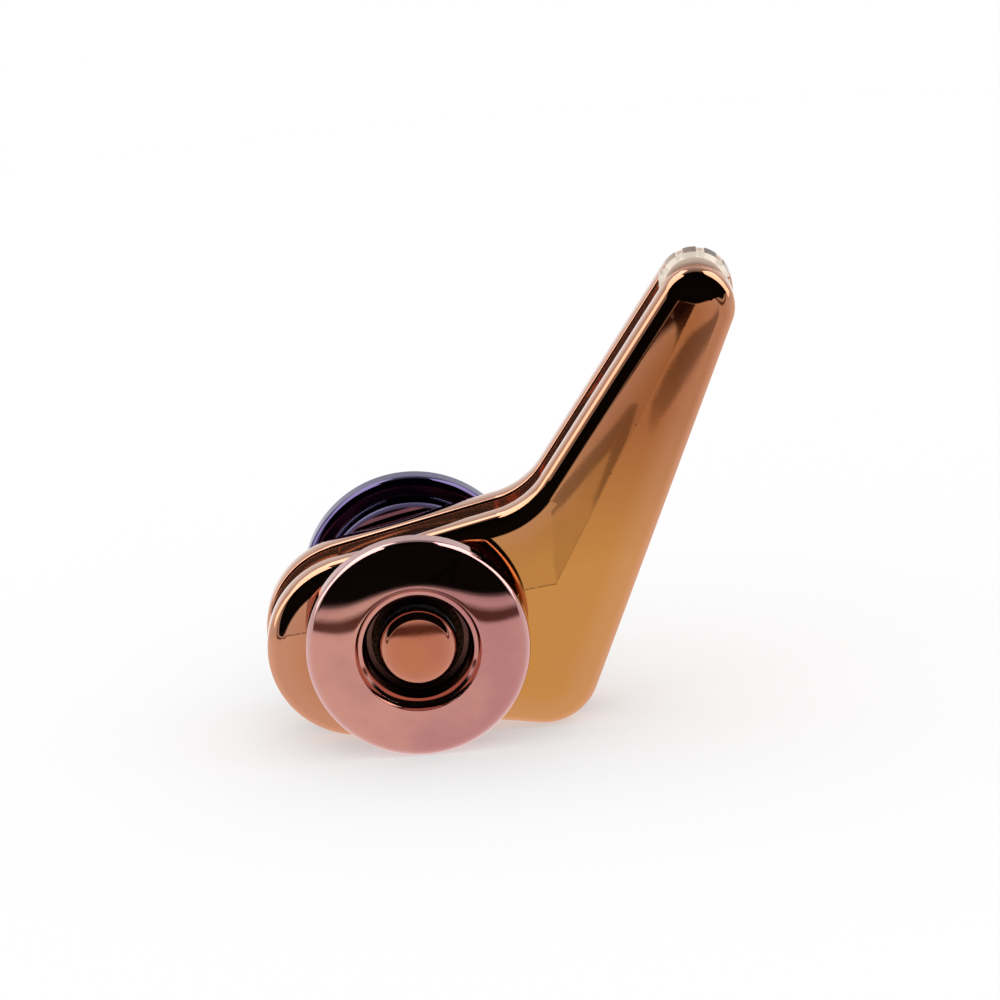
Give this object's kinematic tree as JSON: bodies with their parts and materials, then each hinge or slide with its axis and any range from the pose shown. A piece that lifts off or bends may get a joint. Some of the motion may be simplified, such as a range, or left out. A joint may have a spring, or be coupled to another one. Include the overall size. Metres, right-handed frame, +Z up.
{
  "type": "cuticle pusher",
  "caption": "Palm-held cuticle pusher: boomerang body of two plated shells, flanged thumb discs with push buttons, and a notched roller at the tip.",
  "frame": {"origin": "on the ground, under the middle of the body's box", "axes": "+Z up, +X from the round lobe towards the arm's tip, +Y along the disc axle from the front face to the rear face"},
  "size_m": [0.0492, 0.0254, 0.0466],
  "materials": {
    "gold_plating": "mirror-polished copper-gold plating",
    "pink_plating": "mirror-polished pink plating",
    "violet_plating": "mirror-polished violet and blue plating",
    "copper_plating": "mirror-polished copper plating",
    "pale_plating": "mirror-polished pale champagne plating",
    "steel": "turned stainless steel",
    "bronze": "sintered bearing bronze",
    "polymer": "natural acetal"
  },
  "bodies": {
    "body": {"front_shell": "gold_plating", "rear_shell": "gold_plating", "tip_pin": "steel", "front_tip_washer": "polymer", "rear_tip_washer": "polymer", "axle": "steel", "centre_spacer": "steel", "front_thrust_washer": "polymer", "rear_thrust_washer": "polymer", "front_retaining_ring": "steel", "rear_retaining_ring": "steel", "front_button_spring": "steel", "rear_button_spring": "steel", "front_button_pin": "steel", "rear_button_pin": "steel", "heel_screw": "steel", "arm_screw": "steel", "lobe_screw": "steel", "heel_spacer": "steel", "arm_spacer": "steel", "lobe_spacer": "steel"},
    "front_disc": {"front_thumb_disc": "pink_plating", "front_bush": "bronze"},
    "rear_disc": {"rear_thumb_disc": "violet_plating", "rear_bush": "bronze"},
    "roller": {"tip_wheel": "pale_plating", "tip_bush": "bronze"},
    "front_press": {"front_button": "copper_plating"},
    "rear_press": {"rear_button": "copper_plating"}
  },
  "joints": [
    {"name": "front_disc_spin", "type": "hinge", "parent": "body", "child": "front_disc", "pos_m": [-0.00953, 0, 0.0112], "axis": [0, 1, 0], "continuous": true},
    {"name": "rear_disc_spin", "type": "hinge", "parent": "body", "child": "rear_disc", "pos_m": [-0.00953, 0, 0.0112], "axis": [0, 1, 0], "continuous": true},
    {"name": "tip_wheel_spin", "type": "hinge", "parent": "body", "child": "roller", "pos_m": [0.02082, 0, 0.04305], "axis": [0, 1, 0], "continuous": true},
    {"name": "front_button_press", "type": "slide", "parent": "body", "child": "front_press", "axis": [0, 1, 0], "range_m": [0, 0.0006], "stiffness_N_per_m": 1500, "springref_m": -0.0006, "deforming": ["front_button_spring"]},
    {"name": "rear_button_press", "type": "slide", "parent": "body", "child": "rear_press", "axis": [0, -1, 0], "range_m": [0, 0.0006], "stiffness_N_per_m": 1500, "springref_m": -0.0006, "deforming": ["rear_button_spring"]}
  ]
}
